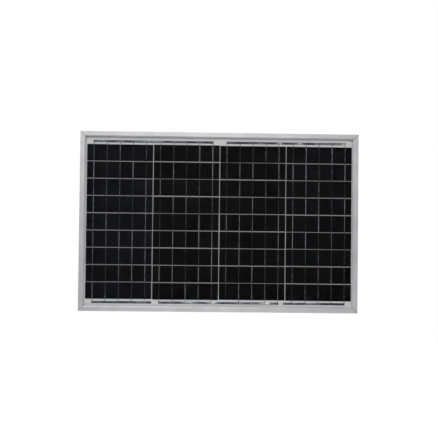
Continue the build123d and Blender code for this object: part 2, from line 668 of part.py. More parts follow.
# ---- Inside the box: terminals, diodes, clips and screws ----
SCREW_RADIUS = 1.5
SCREW_HEAD_RADIUS = 3.2
SCREW_HEAD = 2.0
SCREW_DRIVE = 0.8
DRIVE_LENGTH = 5.0
DRIVE_DEPTH = 1.1
SCREW_CLEARANCE = 0.1
TIP_GAP = 0.2
PLATE_RADIUS = 1.0
CLAMP_SIZE = 8.5
CLAMP_THICKNESS = 1.0
CLIP_LENGTH = 5.0
CLIP_THICKNESS = 0.5
CLIP_CLEARANCE = 0.1
CLIP_GRIP = 0.8  # how far a clip reaches down past its seat's top
DIODE_RADIUS = 2.65
DIODE_LENGTH = 9.5
DIODE_WIRE = 0.6
WIRE_OVERLAP = 4.0
terminal_z = TERMINAL_FOOT_Z + TERMINAL_LENGTH / 2

for name, x in zip(("left", "middle", "right"), slit_xs):
    with BuildPart() as terminal:
        with BuildSketch(facing(TERMINAL_TOP)):
            with Locations((x, terminal_z)):
                RectangleRounded(TERMINAL_WIDTH, TERMINAL_LENGTH, PLATE_RADIUS)
            with Locations((x, SCREW_Z)):
                Circle(SCREW_RADIUS + SCREW_CLEARANCE, mode=Mode.SUBTRACT)
        extrude(amount=TERMINAL_THICKNESS)
    save(terminal.part, f"terminal_{name}")

with BuildPart() as wire_clamps:
    with BuildSketch(facing(TERMINAL_TOP + CLAMP_THICKNESS)):
        with Locations((-TERMINAL_X, SCREW_Z), (TERMINAL_X, SCREW_Z)):
            RectangleRounded(CLAMP_SIZE, CLAMP_SIZE, PLATE_RADIUS)
            Circle(SCREW_RADIUS + SCREW_CLEARANCE, mode=Mode.SUBTRACT)
    extrude(amount=CLAMP_THICKNESS)
save(wire_clamps.part, "wire_clamps")

clamp_top = TERMINAL_TOP + CLAMP_THICKNESS
with BuildPart() as terminal_screws:
    with BuildSketch(facing(clamp_top + SCREW_HEAD)):
        with Locations((-TERMINAL_X, SCREW_Z), (TERMINAL_X, SCREW_Z)):
            Circle(SCREW_HEAD_RADIUS)
    extrude(amount=SCREW_HEAD)
    chamfer(terminal_screws.faces().group_by(Axis.Y)[-1].edges(), SCREW_DRIVE / 2)
    with BuildSketch(facing(clamp_top)):
        with Locations((-TERMINAL_X, SCREW_Z), (TERMINAL_X, SCREW_Z)):
            Circle(SCREW_RADIUS)
    extrude(amount=clamp_top - FLOOR_TOP - TIP_GAP)
    with BuildSketch(facing(clamp_top + SCREW_HEAD)):
        with Locations((-TERMINAL_X, SCREW_Z), (TERMINAL_X, SCREW_Z)):
            Rectangle(DRIVE_LENGTH, SCREW_DRIVE)
            Rectangle(SCREW_DRIVE, DRIVE_LENGTH)
    extrude(amount=DRIVE_DEPTH, mode=Mode.SUBTRACT)
save(terminal_screws.part, "terminal_screws")

with BuildPart() as ribbon_clips:
    clip_inner = TERMINAL_WIDTH / 2 + CLIP_CLEARANCE
    clip_top = TERMINAL_TOP + LEAD_THICKNESS
    clip_foot = SEAT_TOP - CLIP_GRIP
    for x in slit_xs:
        with BuildSketch(Plane((x, 0, CLIP_Z - CLIP_LENGTH / 2), x_dir=(1, 0, 0), z_dir=(0, 0, 1))):
            with BuildLine():
                clip_section = [
                    (-clip_inner - CLIP_THICKNESS, clip_foot),
                    (-clip_inner - CLIP_THICKNESS, clip_top + CLIP_THICKNESS),
                    (clip_inner + CLIP_THICKNESS, clip_top + CLIP_THICKNESS),
                    (clip_inner + CLIP_THICKNESS, clip_foot),
                    (clip_inner, clip_foot),
                    (clip_inner, clip_top),
                    (-clip_inner, clip_top),
                    (-clip_inner, clip_foot),
                ]
                Polyline(*[(a, y_of(depth)) for a, depth in clip_section], close=True)
            make_face()
        extrude(amount=CLIP_LENGTH)
save(ribbon_clips.part, "ribbon_clips")

wire_depth = TERMINAL_TOP + DIODE_WIRE
wire_reach = TERMINAL_X - TERMINAL_WIDTH + 2 * WIRE_OVERLAP
for name, x in (("left", -TERMINAL_X / 2), ("right", TERMINAL_X / 2)):
    with BuildPart() as diode:
        round_bar(x - wire_reach / 2, wire_depth, DIODE_Z, DIODE_WIRE, wire_reach, ACROSS)
        round_bar(x - DIODE_LENGTH / 2, wire_depth, DIODE_Z, DIODE_RADIUS, DIODE_LENGTH, ACROSS)
    save(diode.part, f"bypass_diode_{name}")

# ---- Cable glands ----
SEAL_OUTER = 3.95
SEAL_FLANGE = 5.2
SEAL_FLANGE_THICKNESS = 1.7
SEAL_LENGTH = 10.0
SEAL_GAP = 0.15
WASHER_OUTER = 5.4
WASHER_BORE = 3.3
WASHER_THICKNESS = 0.8
WASHER_GAP = 0.1
CAVITY_GAP = 0.05
NUT_BORE = 5.75
NUT_MOUTH = 3.6
NUT_HEX_LENGTH = 9.0
NUT_TOP_RADIUS = 5.8

socket_top = BOX_TOP_Z + SOCKET_LENGTH
flange_low = socket_top + SEAL_GAP
flange_high = flange_low + SEAL_FLANGE_THICKNESS
nut_low = BOX_TOP_Z + NUT_START
nut_high = nut_low + NUT_LENGTH
washer_low = flange_high + WASHER_GAP
cavity_top = washer_low + WASHER_THICKNESS + CAVITY_GAP


def turned(x, points):
    """A solid of revolution about a gland's axis, from (radius, z) points."""
    with BuildPart() as made:
        with BuildSketch(Plane((x, y_of(GLAND_DEPTH), 0), x_dir=(1, 0, 0), z_dir=(0, -1, 0))):
            with BuildLine():
                Polyline(*points, close=True)
            make_face()
        revolve(axis=Axis((x, y_of(GLAND_DEPTH), 0), (0, 0, 1)))
    return made.part


for name, x in (("left", -TERMINAL_X), ("right", TERMINAL_X)):
    seal_points = [
        (SEAL_BORE, flange_high - SEAL_LENGTH),
        (SEAL_OUTER, flange_high - SEAL_LENGTH),
        (SEAL_OUTER, flange_low),
        (SEAL_FLANGE, flange_low),
        (SEAL_FLANGE, flange_high),
        (SEAL_BORE, flange_high),
    ]
    save(turned(x, seal_points), f"gland_seal_{name}")
    washer_points = [
        (WASHER_BORE, washer_low),
        (WASHER_OUTER, washer_low),
        (WASHER_OUTER, washer_low + WASHER_THICKNESS),
        (WASHER_BORE, washer_low + WASHER_THICKNESS),
    ]
    save(turned(x, washer_points), f"gland_washer_{name}")
    with BuildPart() as gland_nut:
        with BuildSketch(Plane((x, y_of(GLAND_DEPTH), nut_low))):
            RegularPolygon(NUT_FLATS / 2, 6, major_radius=False)
        extrude(amount=NUT_HEX_LENGTH)
        with BuildSketch(Plane((x, y_of(GLAND_DEPTH), nut_low + NUT_HEX_LENGTH))):
            Circle(NUT_FLATS / 2)
        taper = math.degrees(math.atan((NUT_FLATS / 2 - NUT_TOP_RADIUS) / (NUT_LENGTH - NUT_HEX_LENGTH)))
        extrude(amount=NUT_LENGTH - NUT_HEX_LENGTH, taper=taper)
        round_bar(x, GLAND_DEPTH, nut_low, NUT_MOUTH, NUT_LENGTH, UPWARD, Mode.SUBTRACT)
        round_bar(x, GLAND_DEPTH, nut_low, NUT_BORE, cavity_top - nut_low, UPWARD, Mode.SUBTRACT)
    save(gland_nut.part, f"gland_nut_{name}")

# ---- Blank rating label on the back ----
LABEL_WIDTH = 96.0
LABEL_HEIGHT = 62.0
LABEL_THICKNESS = 0.15
LABEL_X = -170.0
LABEL_Z = -118.0
LABEL_RADIUS = 2.0
with BuildPart() as rating_label:
    with BuildSketch(facing(LAMINATE_BACK + LABEL_THICKNESS)):
        with Locations((LABEL_X, LABEL_Z)):
            RectangleRounded(LABEL_WIDTH, LABEL_HEIGHT, LABEL_RADIUS)
    extrude(amount=LABEL_THICKNESS)
save(rating_label.part, "rating_label")
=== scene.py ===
# %% [markdown]
# # A framed solar panel
# The panel is a sandwich: glass, clear film, cells, clear film and a white backsheet, held
# round its edge by an aluminium frame. Its shapes come from a CAD frame, which this script
# loads first. Blender gives every part its finish, and replaces the flat metal ribbons and
# the cells with finer pieces that sit in the same places.

import math

import bmesh
import bpy
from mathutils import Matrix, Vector


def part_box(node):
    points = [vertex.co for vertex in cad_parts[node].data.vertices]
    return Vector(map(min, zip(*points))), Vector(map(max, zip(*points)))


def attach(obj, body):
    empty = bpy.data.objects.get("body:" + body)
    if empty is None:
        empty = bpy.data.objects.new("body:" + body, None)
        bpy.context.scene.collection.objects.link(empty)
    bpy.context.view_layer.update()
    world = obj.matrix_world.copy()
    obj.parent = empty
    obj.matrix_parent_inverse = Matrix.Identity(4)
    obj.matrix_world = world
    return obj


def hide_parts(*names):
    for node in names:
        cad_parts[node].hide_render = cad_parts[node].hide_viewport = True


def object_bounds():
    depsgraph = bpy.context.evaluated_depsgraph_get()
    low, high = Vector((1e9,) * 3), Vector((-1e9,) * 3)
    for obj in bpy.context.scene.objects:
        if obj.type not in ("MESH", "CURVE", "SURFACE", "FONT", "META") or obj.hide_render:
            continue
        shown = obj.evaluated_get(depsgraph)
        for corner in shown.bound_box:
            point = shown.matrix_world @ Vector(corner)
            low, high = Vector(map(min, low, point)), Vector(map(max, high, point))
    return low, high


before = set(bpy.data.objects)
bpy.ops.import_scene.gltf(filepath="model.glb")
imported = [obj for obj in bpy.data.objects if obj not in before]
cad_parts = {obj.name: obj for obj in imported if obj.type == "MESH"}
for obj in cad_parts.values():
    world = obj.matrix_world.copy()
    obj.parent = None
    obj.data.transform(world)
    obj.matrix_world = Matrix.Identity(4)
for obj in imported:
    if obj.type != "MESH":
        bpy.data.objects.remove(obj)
cad_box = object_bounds()
MM = 0.001
print("size in mm:", [round(v / MM, 1) for v in cad_box[1] - cad_box[0]])

# %% [markdown]
# ## Measures
# Every place is read from the frame, so nothing has to be fitted by hand. Only what the CAD
# parts don't say on their own is written here: how many cells a string has and how far
# apart they are.

# %% Measure the cells and ribbons
ROWS = 9
STRINGS = 4
BUSBARS = 5
CELL_GAP = 2.0 * MM

cell_boxes = [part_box(f"cell_string_{n + 1}") for n in range(STRINGS)]
cell_low, cell_high = cell_boxes[0]
cell_width = cell_high.x - cell_low.x
cell_height = (cell_high.z - cell_low.z - (ROWS - 1) * CELL_GAP) / ROWS
row_pitch = cell_height + CELL_GAP
string_pitch = cell_boxes[1][0].x - cell_low.x
tab_low, tab_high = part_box("tab_ribbons_1")
tab_thickness = cell_low.y - tab_low.y
frame_low, frame_high = cad_box
print(f"a cell is {cell_width / MM:.2f} by {cell_height / MM:.2f} mm")
print(f"a tab ribbon is {tab_thickness / MM:.2f} mm thick")

# %% [markdown]
# ## Two helpers for node trees
# Materials and Geometry Nodes are both trees of nodes, so one small function serves for
# both: it adds a node, sets its own properties, and then fills its inputs. An input is
# linked if it is given another node's output, and set if it is given a value.
# Colours are written as sRGB hex, the way a paint chart has them. Shaders work in linear
# light, so one function converts them.


# %% Add a node, and read a colour
def add_node(tree, kind, inputs=(), **settings):
    """A new node in a tree, with its own settings and its inputs by name or number."""
    made = tree.nodes.new(kind)
    for name, value in settings.items():
        setattr(made, name, value)
    for place, value in dict(inputs).items():
        if isinstance(value, bpy.types.NodeSocket):
            tree.links.new(value, made.inputs[place])
        else:
            made.inputs[place].default_value = value
    return made


def colour(hex_code):
    """An sRGB hex colour as linear red, green, blue and alpha."""
    parts = [int(hex_code[i : i + 2], 16) / 255 for i in (1, 3, 5)]
    linear = [c / 12.92 if c <= 0.04045 else ((c + 0.055) / 1.055) ** 2.4 for c in parts]
    return (*linear, 1.0)


# %% [markdown]
# ## Starting a material
# Each material has one Principled shader. Values that are the same everywhere, such as a
# metal's metallic value, are set straight on the shader. What varies over the surface is
# worked out from Object coordinates, in metres, so that every pattern has a real size.
# A gradient of tones is a Color Ramp from a noise to a few paint-chart colours.


# %% Start a material
def start_material(name, **shader_values):
    """A material, its tree, its shader and its object coordinates."""
    material = bpy.data.materials.new(name)
    material.use_nodes = True
    tree = material.node_tree
    shader = tree.nodes["Principled BSDF"]
    for socket, value in shader_values.items():
        shader.inputs[socket.replace("_", " ").title().replace("Ior", "IOR")].default_value = value
    place = add_node(tree, "ShaderNodeTexCoord").outputs["Object"]
    return material, tree, shader, place


def set_ramp(ramp, stops):
    """Fills a Color Ramp from (position, hex colour) stops."""
    elements = ramp.color_ramp.elements
    while len(elements) < len(stops):
        elements.new(0.5)
    for element, (position, hex_code) in zip(elements, stops):
        element.position = position
        element.color = colour(hex_code)


def tones(tree, factor, stops):
    """A colour output that follows a factor through a few stops."""
    ramp = add_node(tree, "ShaderNodeValToRGB", {"Fac": factor})
    set_ramp(ramp, stops)
    return ramp.outputs["Color"]


def between(tree, factor, low, high):
    """A number output that follows a factor from 0 to 1 between low and high."""
    spread = {"Value": factor, "To Min": low, "To Max": high}
    return add_node(tree, "ShaderNodeMapRange", spread).outputs["Result"]


def grain(tree, place, size, stretch=(1, 1, 1), detail=2.0):
    """Noise whose features are about this size, drawn out along an axis by its stretch."""
    scale = [1 / factor for factor in stretch]
    mapped = add_node(tree, "ShaderNodeMapping", {"Vector": place, "Scale": scale})
    noise = {"Vector": mapped.outputs["Vector"], "Scale": 1 / size, "Detail": detail}
    return add_node(tree, "ShaderNodeTexNoise", noise).outputs["Fac"]


def add_bump(tree, shader, height, depth):
    """Raises the surface by a height pattern, whose full range is depth in metres."""
    raised = {"Height": height, "Distance": depth, "Strength": 1.0}
    bump = add_node(tree, "ShaderNodeBump", raised)
    tree.links.new(bump.outputs["Normal"], shader.inputs["Normal"])


# %% [markdown]
# ## Anodised aluminium
# The frame is extruded aluminium, etched and clear anodised. The etch makes it satin, and
# the anodised layer gives it a faintly cool grey. The die leaves fine lines along each
# rail, so the noise is stretched along the rail: one material for the long rails and one
# for the short ones. Where two rails meet at a mitre there is a hairline with dirt in it.
# The distance from the mitre comes from the object coordinates: on the 45 degree line, the
# insets from the two outer edges are equal.

# %% Anodised aluminium
DIE_LINE = 0.9 * MM  # coarser than the real 0.1 mm lines, so that they can be seen
MITRE_LINE = 0.42 * MM


def inset_from_edge(tree, coordinate, half_size):
    """How far a point lies inside the frame's outer edge, along one axis."""
    size = add_node(tree, "ShaderNodeMath", {0: coordinate}, operation="ABSOLUTE")
    taken = {0: half_size, 1: size.outputs[0]}
    return add_node(tree, "ShaderNodeMath", taken, operation="SUBTRACT").outputs[0]


def anodised_aluminium(name, stretch):
    material, tree, shader, place = start_material(name, metallic=1.0)
    die_lines = grain(tree, place, DIE_LINE, stretch, detail=3.0)
    cloudy = grain(tree, place, 35 * MM, detail=3.0)
    mixed = add_node(tree, "ShaderNodeMath", {0: die_lines, 1: cloudy}, operation="ADD")
    halved = add_node(tree, "ShaderNodeMath", {0: mixed.outputs[0], 1: 0.5}, operation="MULTIPLY")
    skin = tones(tree, halved.outputs[0], [(0.36, "#c0c0c2"), (0.5, "#c9c9cb"), (0.64, "#d2d2d4")])
    axes = add_node(tree, "ShaderNodeSeparateXYZ", {0: place})
    inset_x = inset_from_edge(tree, axes.outputs["X"], frame_high.x)
    inset_z = inset_from_edge(tree, axes.outputs["Z"], frame_high.z)
    apart = add_node(tree, "ShaderNodeMath", {0: inset_x, 1: inset_z}, operation="SUBTRACT")
    distance = add_node(tree, "ShaderNodeMath", {0: apart.outputs[0]}, operation="ABSOLUTE")
    near, far = 0.4 * MITRE_LINE, 1.6 * MITRE_LINE
    edge = {"Value": distance.outputs[0], "From Min": near, "From Max": far}
    away = add_node(tree, "ShaderNodeMapRange", edge).outputs["Result"]
    joint = {0: away, 6: colour("#3c3c40"), 7: skin}  # the colour pair's factor, A and B
    blended = add_node(tree, "ShaderNodeMix", joint, data_type="RGBA")
    tree.links.new(blended.outputs[2], shader.inputs["Base Color"])
    tree.links.new(between(tree, die_lines, 0.36, 0.5), shader.inputs["Roughness"])
    add_bump(tree, shader, die_lines, 0.012 * MM)
    return material


ALONG_X = (60, 1, 1)
ALONG_Z = (1, 1, 60)
long_rail_metal = anodised_aluminium("anodised_aluminium_long_rails", ALONG_X)
short_rail_metal = anodised_aluminium("anodised_aluminium_short_rails", ALONG_Z)
print("anodised aluminium:", long_rail_metal.name, short_rail_metal.name)

# %% [markdown]
# ## Solar glass
# The cover is low-iron tempered glass, 3.2 mm thick, rolled, with a coating against
# reflections. That is why the cells look nearly black through it. A black specular tint
# stands for the coating: what little it would still mirror is too faint for soft light
# and would only show up as speckles. The index stays glass's. The glass casts no shadow,
# so the light reaches the cells as it does in sunlight.

# %% Solar glass
solar_glass, tree, shader, place = start_material(
    "tempered_solar_glass", transmission_weight=1.0, roughness=0.03, ior=1.5, specular_ior_level=0.1
)
shader.inputs["Base Color"].default_value = colour("#fefefe")
shader.inputs["Specular Tint"].default_value = colour("#000000")
print("glass roughness:", shader.inputs["Roughness"].default_value)

# %% [markdown]
# ## Clear film
# The encapsulant is EVA, a rubbery film that melts clear round the cells. It can't be seen,
# so its slabs are almost fully transparent. The trace that is left is dark, because a
# light one would sparkle in front of the black cells.

# %% Clear film
eva_film, tree, shader, place = start_material(
    "eva_film", roughness=0.5, alpha=0.001, specular_ior_level=0.0
)
shader.inputs["Base Color"].default_value = colour("#303030")
print("film alpha:", shader.inputs["Alpha"].default_value)

# %% [markdown]
# ## Backsheet
# The backsheet is a white polyester laminate with a fine matte tooth. From behind, the
# pressing leaves the outline of each cell as a soft step: the sheet sinks a little into
# the gaps between them. A brick pattern with no offset has just that layout, so its mortar
# lines are put on the gaps and used as a bump. Seen whole, thin white gaps look too bright
# beside black cells. So on the front the same lines darken the sheet a little in the gaps:
# this is painted shade, as if the cells' edges shaded the sheet, and is for the look alone.
# They would run on into the margins, so they only count inside a box round the cells at
# the sheet's front face.

# %% Backsheet
GAP_LINE = 1.1 * MM
SHEET_RELIEF = 0.35 * MM
GAP_DEPTH = 0.8  # shares of the relief
TOOTH_DEPTH = 0.12
grid_corner = Vector((cell_low.x - (string_pitch - cell_width) / 2, 0, cell_low.z - CELL_GAP / 2))

backsheet_white, tree, shader, place = start_material("white_backsheet", roughness=0.55)
flat = add_node(tree, "ShaderNodeMapping", {"Vector": place, "Location": -grid_corner})
axes = add_node(tree, "ShaderNodeSeparateXYZ", {0: flat.outputs["Vector"]})
plan = add_node(tree, "ShaderNodeCombineXYZ", {"X": axes.outputs["X"], "Y": axes.outputs["Z"]})
outline = add_node(
    tree,
    "ShaderNodeTexBrick",
    {
        "Vector": plan.outputs[0],
        "Color1": (0, 0, 0, 1),
        "Color2": (0, 0, 0, 1),
        "Mortar": (1, 1, 1, 1),
        "Scale": 1.0,
        "Mortar Size": GAP_LINE,
        "Mortar Smooth": 1.0,
        "Brick Width": string_pitch,
        "Row Height": row_pitch,
    },
    offset=0.0,
    squash=1.0,
)
tooth = grain(tree, place, 0.7 * MM, detail=2.0)
patches = grain(tree, place, 60 * MM, detail=3.0)
sheet_tone = tones(tree, patches, [(0.3, "#f2f2f1"), (0.7, "#f9f9f8")])
sheet_low, sheet_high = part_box("backsheet")
block_low = Vector((cell_low.x, sheet_low.y, cell_low.z))
block_high = Vector((cell_boxes[-1][1].x, sheet_low.y, cell_high.z))
block_half = (block_high - block_low) / 2
block_half.y = (sheet_high.y - sheet_low.y) / 2
from_block = {0: place, 1: (block_low + block_high) / 2}
offset = add_node(tree, "ShaderNodeVectorMath", from_block, operation="SUBTRACT").outputs[0]
reach = add_node(tree, "ShaderNodeVectorMath", {0: offset}, operation="ABSOLUTE").outputs[0]
beyond = add_node(
    tree, "ShaderNodeVectorMath", {0: reach, 1: block_half}, operation="SUBTRACT"
).outputs[0]
sides = add_node(tree, "ShaderNodeSeparateXYZ", {0: beyond})
flat_sides = {0: sides.outputs["X"], 1: sides.outputs["Z"]}
widest = add_node(tree, "ShaderNodeMath", flat_sides, operation="MAXIMUM").outputs[0]
all_sides = {0: widest, 1: sides.outputs["Y"]}
farthest = add_node(tree, "ShaderNodeMath", all_sides, operation="MAXIMUM").outputs[0]
in_block = add_node(tree, "ShaderNodeMath", {0: farthest, 1: 0.0}, operation="LESS_THAN").outputs[0]
gap_lines = {0: outline.outputs["Fac"], 1: in_block}
in_gap = add_node(tree, "ShaderNodeMath", gap_lines, operation="MULTIPLY").outputs[0]
# painted shade: the sheet is made darker in the gaps between the cells
painted_gap_shade = tones(tree, in_gap, [(0.0, "#ffffff"), (0.1, "#e4e4e4")])
shaded = add_node(tree, "ShaderNodeVectorMath", {0: sheet_tone, 1: painted_gap_shade}, operation="MULTIPLY")
sunk = add_node(
    tree, "ShaderNodeMath", {0: outline.outputs["Fac"], 1: -GAP_DEPTH}, operation="MULTIPLY"
)
heights = {0: tooth, 1: TOOTH_DEPTH, 2: sunk.outputs[0]}
relief = add_node(tree, "ShaderNodeMath", heights, operation="MULTIPLY_ADD")
tree.links.new(shaded.outputs[0], shader.inputs["Base Color"])
add_bump(tree, shader, relief.outputs[0], SHEET_RELIEF)
print(f"outlines every {string_pitch / MM:.2f} by {row_pitch / MM:.2f} mm")

# %% [markdown]
# ## Silicon cells
# A monocrystalline cell is etched into microscopic pyramids and coated dark blue, so it
# swallows nearly all light. Fine silver fingers run across it, at right angles to the
# ribbons, about 1.4 mm apart. Each is 0.05 mm wide: here it is drawn 0.12 mm wide and
# dimmer, so that it can be seen at all. Every cell differs a little in its blue, and the
# tone is stored on each cell by Geometry Nodes as an attribute called cell_tone.

# %% Silicon cells
FINGER_PITCH = 1.4 * MM
FINGER_WIDTH = 0.12 * MM


def repeated_line(tree, coordinate, half_pitch, width):
    """1 on thin lines at equal steps along a coordinate, one of them at 0, and 0 between."""
    folded = {0: coordinate, 1: half_pitch}
    cycled = add_node(tree, "ShaderNodeMath", folded, operation="PINGPONG")
    near = {0: cycled.outputs[0], 1: width / 2}
    return add_node(tree, "ShaderNodeMath", near, operation="LESS_THAN").outputs[0]


silicon, tree, shader, place = start_material(
    "monocrystalline_silicon", roughness=0.42, specular_ior_level=0.04
)
tone = add_node(tree, "ShaderNodeAttribute", attribute_name="cell_tone").outputs["Fac"]
cell_colour = tones(
    tree, tone, [(0.0, "#060607"), (0.35, "#09090a"), (0.7, "#0c0e11"), (1.0, "#11141b")]
)
cloud = grain(tree, place, 22 * MM, detail=3.0)
clouded = tones(tree, cloud, [(0.3, "#bdbdbd"), (0.7, "#ffffff")])
dimmed = add_node(tree, "ShaderNodeVectorMath", {0: cell_colour, 1: clouded}, operation="MULTIPLY")
axes = add_node(tree, "ShaderNodeSeparateXYZ", {0: place})
finger = repeated_line(tree, axes.outputs["Z"], FINGER_PITCH / 2, FINGER_WIDTH)
dim_silver = {0: (0.018, 0.0186, 0.021), "Scale": finger}
silver = add_node(tree, "ShaderNodeVectorMath", dim_silver, operation="SCALE").outputs[0]
lined = add_node(
    tree, "ShaderNodeVectorMath", {0: dimmed.outputs[0], 1: silver}, operation="ADD"
)
tree.links.new(lined.outputs[0], shader.inputs["Base Color"])
tree.links.new(between(tree, cloud, 0.38, 0.52), shader.inputs["Roughness"])
print(f"fingers every {FINGER_PITCH / MM:.1f} mm")

# %% [markdown]
# ## Tinned copper
# The ribbons are copper dipped in solder. The solder freezes in soft ripples, so the strip
# shines in patches and looks dull between them. Metal with a roughness that wanders gives
# the sheen. The tone wanders too, from nearly black to nearly white: painted glints where
# the strip would catch the light, and painted dull reflection between them. A tab takes
# about half of its tone from its own random number, stored as an attribute called
# ribbon_tone, so that some tabs are brighter all along. The wide buses are bluer and more
# uneven, with larger painted glints.


# %% Tinned copper
def tinned_copper(name, stops, patch, own_share, rough_low, rough_high, ripple):
    material, tree, shader, place = start_material(name, metallic=1.0)
    own_glint = add_node(tree, "ShaderNodeAttribute", attribute_name="ribbon_tone").outputs["Fac"]
    own = {0: own_glint, 1: own_share}
    own_part = add_node(tree, "ShaderNodeMath", own, operation="MULTIPLY").outputs[0]
    # painted glints and painted dull reflection: the metal's tone follows a noise and the ribbon's
    # own number
    wander = {0: grain(tree, place, patch, detail=4.0), 1: 1 - own_share, 2: own_part}
    painted_glints = add_node(tree, "ShaderNodeMath", wander, operation="MULTIPLY_ADD").outputs[0]
    frozen = grain(tree, place, patch / 5, detail=2.0)
    tree.links.new(tones(tree, painted_glints, stops), shader.inputs["Base Color"])
    tree.links.new(between(tree, frozen, rough_low, rough_high), shader.inputs["Roughness"])
    add_bump(tree, shader, frozen, ripple)
    return material


# The stops run from a painted dull reflection, nearly black, to painted glints, nearly white.
tab_metal = tinned_copper(
    "tinned_copper_tab",
    [(0.25, "#34363a"), (0.48, "#64686f"), (0.72, "#b8bbc1")],
    patch=8 * MM,
    own_share=0.45,
    rough_low=0.3,
    rough_high=0.5,
    ripple=0.03 * MM,
)
bus_metal = tinned_copper(
    "tinned_copper_bus",
    [(0.42, "#3f454f"), (0.51, "#69707b"), (0.59, "#8d949e"), (0.67, "#e2e4e6")],
    patch=26 * MM,
    own_share=0.0,
    rough_low=0.25,
    rough_high=0.45,
    ripple=0.12 * MM,
)
print("tinned copper:", tab_metal.name, bus_metal.name)

# %% [markdown]
# ## Moulded plastics and rubber
# The junction box and the glands are moulded: the box from black PPO with a fine spark
# texture, the gland from nylon, a little glossier. A bump of noise at the texture's real
# grain, about 0.4 mm, breaks up the highlights, and slow changes in roughness stand for
# the flow of the plastic and for handling. Rubber and cured silicone get the same recipe
# with other tones and grains.


# %% Plastics, rubbers and sealants
def moulded(name, dark, light, grain_size, rough_low, rough_high, depth, specular=0.5):
    material, tree, shader, place = start_material(name, specular_ior_level=specular)
    slow = grain(tree, place, 18 * MM, detail=3.0)
    spark = grain(tree, place, grain_size, detail=2.0)
    tree.links.new(tones(tree, slow, [(0.3, dark), (0.7, light)]), shader.inputs["Base Color"])
    tree.links.new(between(tree, slow, rough_low, rough_high), shader.inputs["Roughness"])
    add_bump(tree, shader, spark, depth)
    return material


box_plastic = moulded("moulded_ppo", "#17181a", "#202124", 0.45 * MM, 0.42, 0.55, 0.03 * MM)
gland_nylon = moulded("moulded_nylon", "#141415", "#1c1c1e", 0.6 * MM, 0.3, 0.42, 0.015 * MM)
seal_rubber = moulded("epdm_rubber", "#232323", "#2e2e2e", 0.5 * MM, 0.6, 0.75, 0.02 * MM, 0.3)
cured_silicone = moulded("cured_silicone", "#dcdcd8", "#e8e8e4", 3.0 * MM, 0.3, 0.42, 0.12 * MM)
polyester_strip = moulded("polyester_strip", "#e2e2df", "#eaeae8", 0.8 * MM, 0.45, 0.55, 0.01 * MM)
print("moulded:", box_plastic.name, gland_nylon.name, seal_rubber.name, cured_silicone.name)

# %% [markdown]
# ## Blank label
# A module's rating label is a silver polyester film printed with a table. There is nothing
# to read here, so only the table's thin rules are drawn: evenly spaced rows and one column
# line, inside a plain border, all measured from the label's own corners.

# %% Blank label
label_low, label_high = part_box("rating_label")
RULE_WIDTH = 0.5 * MM
LABEL_ROWS = 7
BORDER = 4 * MM

label_film, tree, shader, place = start_material("printed_label_film", roughness=0.35)
axes = add_node(tree, "ShaderNodeSeparateXYZ", {0: place})
label_middle = (label_low + label_high) / 2
half_width = (label_high.x - label_low.x) / 2 - BORDER
half_height = (label_high.z - label_low.z) / 2 - BORDER
from_middle = {}
sizes = {}
within = {}
label_axes = (("X", label_middle.x, half_width), ("Z", label_middle.z, half_height))
for axis, middle, half in label_axes:
    from_middle[axis] = add_node(
        tree, "ShaderNodeMath", {0: axes.outputs[axis], 1: middle}, operation="SUBTRACT"
    ).outputs[0]
    sizes[axis] = add_node(
        tree, "ShaderNodeMath", {0: from_middle[axis]}, operation="ABSOLUTE"
    ).outputs[0]
    within[axis] = add_node(
        tree, "ShaderNodeMath", {0: sizes[axis], 1: half}, operation="LESS_THAN"
    ).outputs[0]
rules = {
    0: repeated_line(tree, from_middle["Z"], half_height / LABEL_ROWS, RULE_WIDTH),
    1: repeated_line(tree, sizes["X"], half_width, RULE_WIDTH),
}
either = add_node(tree, "ShaderNodeMath", rules, operation="MAXIMUM").outputs[0]
both = {0: within["X"], 1: within["Z"]}
inside = add_node(tree, "ShaderNodeMath", both, operation="MULTIPLY").outputs[0]
ruled = add_node(tree, "ShaderNodeMath", {0: either, 1: inside}, operation="MULTIPLY").outputs[0]
label_tone = tones(tree, ruled, [(0.0, "#cfd0d2"), (1.0, "#56585c")])
tree.links.new(label_tone, shader.inputs["Base Color"])
add_bump(tree, shader, grain(tree, place, 1.5 * MM), 0.01 * MM)
print(f"label table {2 * half_width / MM:.0f} by {2 * half_height / MM:.0f} mm")

# %% [markdown]
# ## Small metals
# Inside the junction box the terminals are tinned brass, the screws and clamps zinc plated
# steel, and the clips bright spring steel. The corner keys are cast aluminium. Each is a
# metal with a slow change of tone and a faint grain from how it was made.


# %% Small metals
def plain_metal(name, dark, light, rough_low, rough_high, grain_size, stretch=(1, 1, 1)):
    material, tree, shader, place = start_material(name, metallic=1.0)
    slow = grain(tree, place, 9 * MM, detail=3.0)
    fine = grain(tree, place, grain_size, stretch)
    tree.links.new(tones(tree, slow, [(0.3, dark), (0.7, light)]), shader.inputs["Base Color"])
    tree.links.new(between(tree, fine, rough_low, rough_high), shader.inputs["Roughness"])
    add_bump(tree, shader, fine, 0.01 * MM)
    return material


terminal_metal = plain_metal("tinned_brass", "#b9b4a6", "#d6d2c6", 0.25, 0.4, 0.3 * MM, ALONG_Z)
zinc_plate = plain_metal("zinc_plated_steel", "#a7a9ab", "#c9cbce", 0.25, 0.42, 0.5 * MM)
spring_steel = plain_metal("bright_spring_steel", "#9c9ea2", "#c2c4c8", 0.22, 0.35, 0.2 * MM)
cast_aluminium = plain_metal("cast_aluminium", "#8f9092", "#a6a7a9", 0.45, 0.6, 0.8 * MM)
print("small metals:", terminal_metal.name, zinc_plate.name, spring_steel.name, cast_aluminium.name)

# %% [markdown]
# ## Diode
# A bypass diode is a black epoxy cylinder on tinned wires, with a silver band at its
# cathode. Body, band and wire are one CAD piece, so the material tells them apart by how
# far along X they lie: the two diodes are a whole number of steps apart, so one wrapped
# coordinate serves for both.

# %% Diode
DIODE_LENGTH = 9.5 * MM
BAND_START = 2.4 * MM
BAND_END = 3.6 * MM
END_GAP = 0.02 * MM
diode_low, diode_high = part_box("bypass_diode_left")
diode_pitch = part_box("bypass_diode_right")[0].x - diode_low.x
diode_middle = (diode_low.x + diode_high.x) / 2

